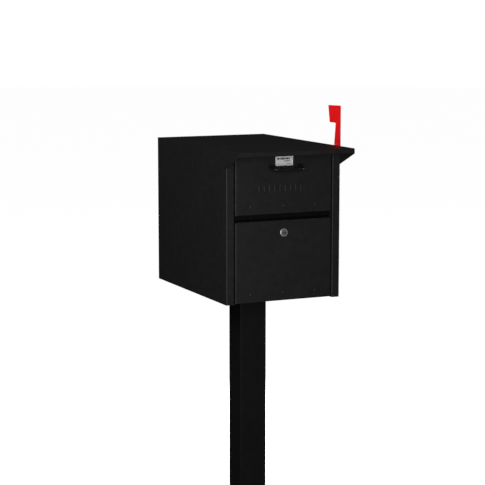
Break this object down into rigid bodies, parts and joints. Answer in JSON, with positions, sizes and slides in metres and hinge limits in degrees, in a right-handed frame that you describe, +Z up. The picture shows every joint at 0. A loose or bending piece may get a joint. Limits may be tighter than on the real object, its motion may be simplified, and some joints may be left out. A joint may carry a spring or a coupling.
{
  "type": "roadside mailbox on a pedestal",
  "caption": "Locking roadside mailbox with a hooded roof, pull-down mail door above a locking parcel door, a red signal flag and a square bolt-down pedestal.",
  "frame": {"origin": "centre of the underside of the pedestal's base plate", "axes": "+Z up the pedestal, -Y towards the doors, +X to the right of someone facing the doors"},
  "size_m": [0.3416, 0.5541, 1.3188],
  "materials": {
    "shell_paint": "satin black powder coat on steel sheet",
    "inner_black": "matt black paint on steel sheet",
    "pedestal_paint": "satin black powder coat on steel",
    "door_paint": "satin black powder coat on steel sheet",
    "hinge_paint": "satin black powder coat",
    "pin_steel": "bare drawn steel",
    "handle_black": "gloss black paint",
    "lock_chrome": "bright chrome",
    "zinc_steel": "bright zinc plate",
    "label_silver": "satin silver",
    "catch_plastic": "matt dark plastic",
    "magnet_ferrite": "matt dark ferrite",
    "bumper_rubber": "matt black rubber",
    "flag_red": "satin red paint on aluminium or steel",
    "bush_nylon": "natural nylon"
  },
  "bodies": {
    "cabinet": {"catch_housing": "catch_plastic", "catch_magnet": "magnet_ferrite", "catch_screws": "zinc_steel", "centre_rail": "inner_black", "drop_baffle": "inner_black", "flag_bolt": "zinc_steel", "flag_bush": "bush_nylon", "flag_inner_washer": "zinc_steel", "flag_nut": "zinc_steel", "flag_outer_washer": "zinc_steel", "flag_stops": "zinc_steel", "floor_doubler": "inner_black", "floor_panel": "shell_paint", "header_rail": "inner_black", "left_side_panel": "shell_paint", "lower_door_bumpers": "bumper_rubber", "lower_hinge_fixed_leaf": "hinge_paint", "lower_hinge_fixed_rivets": "hinge_paint", "lower_hinge_pin": "pin_steel", "mail_shelf": "inner_black", "mounting_bolts": "zinc_steel", "mounting_nuts": "zinc_steel", "mounting_washers": "zinc_steel", "pedestal_base_plate": "pedestal_paint", "pedestal_post": "pedestal_paint", "pedestal_top_plate": "pedestal_paint", "pedestal_welds": "pedestal_paint", "rear_panel": "shell_paint", "rear_panel_rivets": "shell_paint", "right_side_panel": "shell_paint", "top_panel": "shell_paint", "upper_door_bumpers": "bumper_rubber", "upper_hinge_fixed_leaf": "hinge_paint", "upper_hinge_fixed_rivets": "hinge_paint", "upper_hinge_pin": "pin_steel"},
    "upper_door": {"upper_door_panel": "door_paint", "upper_hinge_door_leaf": "hinge_paint", "upper_hinge_door_rivets": "door_paint", "pull_handle": "handle_black", "handle_screws": "zinc_steel", "label_plate": "label_silver", "strike_plate": "zinc_steel"},
    "lower_door": {"lower_door_panel": "door_paint", "lower_hinge_door_leaf": "hinge_paint", "lower_hinge_door_rivets": "door_paint", "lock_body": "lock_chrome", "lock_nut": "zinc_steel"},
    "lock_cylinder": {"lock_plug": "lock_chrome", "lock_cam": "zinc_steel", "lock_cam_screw": "zinc_steel"},
    "flag": {"flag": "flag_red"}
  },
  "joints": [
    {"name": "upper_door_hinge", "type": "hinge", "parent": "cabinet", "child": "upper_door", "pos_m": [0, -0.2205, 1.0493], "axis": [1, 0, 0], "range_deg": [0, 90]},
    {"name": "lower_door_hinge", "type": "hinge", "parent": "cabinet", "child": "lower_door", "pos_m": [0, -0.2205, 0.8209], "axis": [1, 0, 0], "range_deg": [0, 90]},
    {"name": "lock_turn", "type": "hinge", "parent": "lower_door", "child": "lock_cylinder", "pos_m": [0, -0.226, 0.9951], "axis": [0, -1, 0], "range_deg": [0, 90]},
    {"name": "flag_pivot", "type": "hinge", "parent": "cabinet", "child": "flag", "pos_m": [0.17125, -0.19445, 1.1923], "axis": [-1, 0, 0], "range_deg": [0, 90]}
  ]
}
